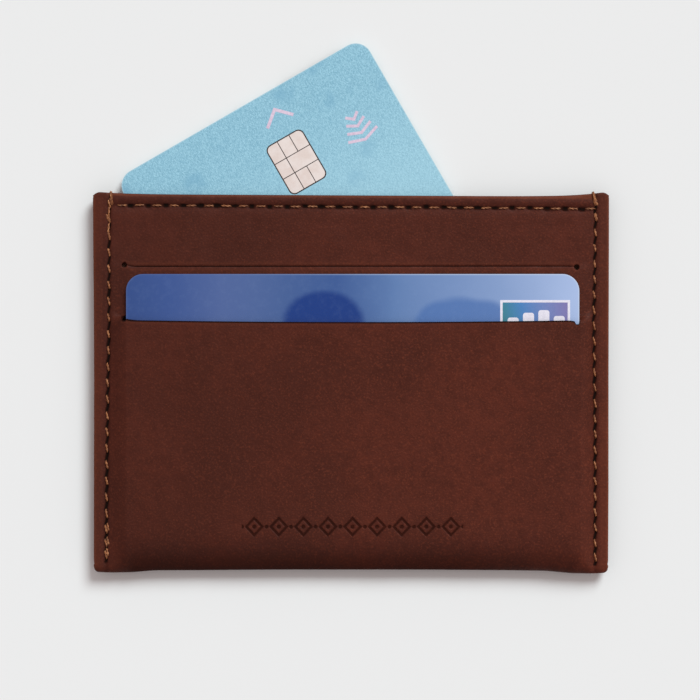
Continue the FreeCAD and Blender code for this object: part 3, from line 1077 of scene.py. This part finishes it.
def card_back_material(card, low, high):
    """Printed back: soft diagonal guilloche bands."""
    m = Material(card + "_back_print", Roughness=0.32, Coat_Weight=0.3, Coat_Roughness=0.2)
    at = card_place(m, card)
    x, y, _ = m.axes(at)
    wave = m.math("SINE", m.plus(m.times(x, 0.9), m.times(m.math("SINE", m.times(y, 0.35)), 2.0)))
    tone = m.mix(m.span(wave, -0.2, 0.9), linear(*low), linear(*high))
    m.colour(m.mix(m.span(m.noise(1.5, 3.0, 0.6, at), 0.4, 0.7, 0.0, 0.2), tone,
                   linear(236, 240, 244)))
    m.bump(m.noise(2.0, 2.0, 0.5, at), 0.004, 0.4)
    return m.mat


def signature_material(card):
    m = Material(card + "_signature", Roughness=0.8, Specular_IOR_Level=0.2)
    at = card_place(m, card)
    x, y, _ = m.axes(at)
    lines = m.math("SINE", m.times(m.plus(x, y), 5.0))
    m.colour(m.mix(m.span(lines, 0.5, 1.0, 0.0, 0.5), linear(236, 233, 224),
                   linear(196, 202, 210)))
    m.bump(m.noise(6.0, 2.0, 0.6, at), 0.01, 0.6)
    return m.mat


core_look = speckled("card_core", (226, 226, 224), (242, 242, 240), Roughness=0.55)
chip_base = speckled("chip_base", (38, 29, 29), (58, 45, 42), 3.0, Roughness=0.45)
wire_look = speckled("copper_wire", (160, 96, 52), (196, 128, 78), 2.0, 0.004, Roughness=0.35,
                     Metallic=0.9)
contact = speckled("contact_plate", (235, 219, 212), (243, 231, 226), 0.45, 0.006, Roughness=0.36,
                   Metallic=0.25)
lilac = speckled("lilac_ink", (208, 184, 206), (224, 204, 222), 3.0, 0.004, Roughness=0.5)
white_ink = speckled("white_ink", (224, 220, 234), (236, 232, 244), 3.0, 0.004, Roughness=0.4)
stripe_look = speckled("magnetic_stripe", (26, 23, 22), (44, 38, 36), 3.0, 0.004, 2.0, (0.4, 0.7),
                       Roughness=0.3)

looks = {"core": core_look, "magnetic_stripe": stripe_look, "chip_module": chip_base,
         "antenna_coil": wire_look}
for card, front_look, low, high in (("blue", blue_material(), (150, 170, 206), (184, 200, 226)),
                                    ("pale", pale_material(), (176, 208, 220), (206, 228, 236))):
    own = dict(looks, front_overlay=front_look, signature_panel=signature_material(card),
               back_overlay=card_back_material(card, low, high))
    for part, look in own.items():
        node = nodes.get(f"{card}_card_{part}")
        if node is None:
            continue
        if not node.material_slots:
            node.data.materials.append(look)
        for slot in node.material_slots:
            slot.material = look


def decal(name, shapes, place, body, material, low=-0.03, high=0.012):
    """Thin printed or raised shapes on a card's face: outlines in card millimetres."""
    bm = bmesh.new()
    for outline in shapes:
        ends = [[bm.verts.new(place(u, v, CARD_T + w) * MM) for u, v in outline]
                for w in (low, high)]
        bm.faces.new(ends[0][::-1])
        bm.faces.new(ends[1])
        count = len(outline)
        for i in range(count):
            j = (i + 1) % count
            bm.faces.new((ends[0][i], ends[0][j], ends[1][j], ends[1][i]))
    obj = to_object(name, bm, material, 30.0)
    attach(obj, body)
    return obj


def strip_outline(points, width):
    """Outline of a line of that width through the points, with mitred corners."""
    p = np.array(points, float)
    d = unit(np.diff(p, axis=0))
    n = np.stack([-d[:, 1], d[:, 0]], axis=1)
    left, right = [], []
    for i in range(len(p)):
        if i == 0:
            off = n[0]
        elif i == len(p) - 1:
            off = n[-1]
        else:
            off = n[i - 1] + n[i]
            off = off / (off @ n[i])
        left.append(p[i] + off * width / 2)
        right.append(p[i] - off * width / 2)
    return [tuple(q) for q in left + right[::-1]]


def box(u0, v0, u1, v1):
    return [(u0, v0), (u1, v0), (u1, v1), (u0, v1)]


def rounded_box(u0, v0, u1, v1, r, corners=(True,) * 4, count=5):
    """Which corners are round, in order: lower left, lower right, upper right, upper left."""
    out = []
    centres = ((u0, v0, 1, 1, 180), (u1, v0, -1, 1, 270), (u1, v1, -1, -1, 0),
               (u0, v1, 1, -1, 90))
    for (cu, cv, su, sv, start), soft in zip(centres, corners):
        if not soft:
            out.append((cu, cv))
            continue
        for i in range(count + 1):
            a = math.radians(start + 90 * i / count)
            out.append((cu + su * r + r * math.cos(a), cv + sv * r + r * math.sin(a)))
    return out


def pale_marks():
    chevron = [(6.05, 29.83), (3.61, 32.77), (6.23, 35.4)]
    nested = []
    for i in range(4):
        u = 12.0 + i * 1.45
        h = 1.3 + i * 0.62
        nested.append([(u - 0.3, 44.9 - h), (u + 0.75, 44.9), (u - 0.3, 44.9 + h)])
    lines = [strip_outline(chevron, 0.62)] + [strip_outline(p, 0.55) for p in nested]
    decal("pale_card_marks", lines, on_pale, "pale_card", lilac)


def chip_pads(card, place):
    """Three contacts on each side of a middle pair, with dark gaps between."""
    u0, v0, w, h = 9.0, 27.4, 10.6, 8.0
    e, g = 0.15, 0.08
    left, right = u0 + e, u0 + w - e
    low, high = v0 + e, v0 + h - e
    cols = (left, u0 + 3.7, u0 + w - 3.7, right)
    rows = [low + (high - low) * k / 3 for k in range(4)]
    pads = []
    for side in (0, 2):
        for k in range(3):
            at_low, at_high = k == 0, k == 2
            corners = (at_low and side == 0, at_low and side == 2, at_high and side == 2,
                       at_high and side == 0)
            pads.append(rounded_box(cols[side] + g, rows[k] + g, cols[side + 1] - g,
                                    rows[k + 1] - g, 1.0, corners))
    mid = (low + high) / 2
    for foot, head in ((low, mid - 1.3), (mid - 1.3, high)):
        pads.append(box(cols[1] + g, foot + g, cols[2] - g, head - g))
    decal(card + "_card_contacts", pads, place, card + "_card", contact,
          high=0.014)


def emblem():
    """A generic framed square with a few upright bars."""
    u0, v0, side, line = 70.66, 35.86, 13.2, 0.46
    u1, v1 = u0 + side, v0 + side
    frame_bars = [box(u0, v0, u0 + line, v1), box(u1 - line, v0, u1, v1),
                  box(u0 + line, v1 - line, u1 - line, v1),
                  box(u0 + line, v0, u1 - line, v0 + line)]
    for left, top in ((1.6, 9.9), (4.5, 10.8), (7.4, 11.3), (10.3, 10.2)):
        frame_bars.append(rounded_box(u0 + left - 0.2, v0 + 1.8, u0 + left + 1.9, v0 + top, 0.5))
    decal("blue_card_emblem_lines", frame_bars, on_blue, "blue_card", white_ink,
          high=0.018)
    m = Material("emblem_field", Roughness=0.25, Coat_Weight=0.6, Coat_Roughness=0.08)
    at = card_place(m, "blue")
    x, y, _ = m.axes(at)
    across = m.math("DIVIDE", m.minus(x, u0 - CARD_W / 2), side)
    climb = m.math("DIVIDE", m.minus(y, v0 - CARD_H / 2), side)
    mixed = m.plus(m.times(across, 0.85), m.times(climb, 0.18))
    tone = m.ramp(mixed, [(0.12, linear(44, 128, 128)), (0.42, linear(66, 128, 190)),
                          (0.7, linear(112, 132, 190)), (0.98, linear(128, 118, 176))])
    m.colour(m.mix(m.span(m.noise(2.0, 3.0, 0.6, at), 0.4, 0.7, 0.0, 0.15), tone,
                   linear(60, 110, 160)))
    m.bump(m.noise(2.0, 2.0, 0.5, at), 0.004, 0.4)
    field = box(u0 + 0.1, v0 + 0.1, u1 - 0.1, v1 - 0.1)
    decal("blue_card_emblem_field", [field], on_blue, "blue_card", m.mat,
          high=0.008)


pale_marks()
chip_pads("pale", on_pale)
chip_pads("blue", on_blue)
emblem()


# ---- floor ----------------------------------------------------------------------------------
def add_floor():
    bm = bmesh.new()
    bmesh.ops.create_grid(bm, x_segments=2, y_segments=2, size=1.5)
    m = Material("floor", Roughness=0.9, Specular_IOR_Level=0.1)
    m.colour(m.mix(m.noise(0.02, 2.0), linear(233, 233, 233), linear(234, 234, 234)))
    floor = to_object("floor", bm, m.mat)
    floor.location.z = -0.07 * MM


add_floor()
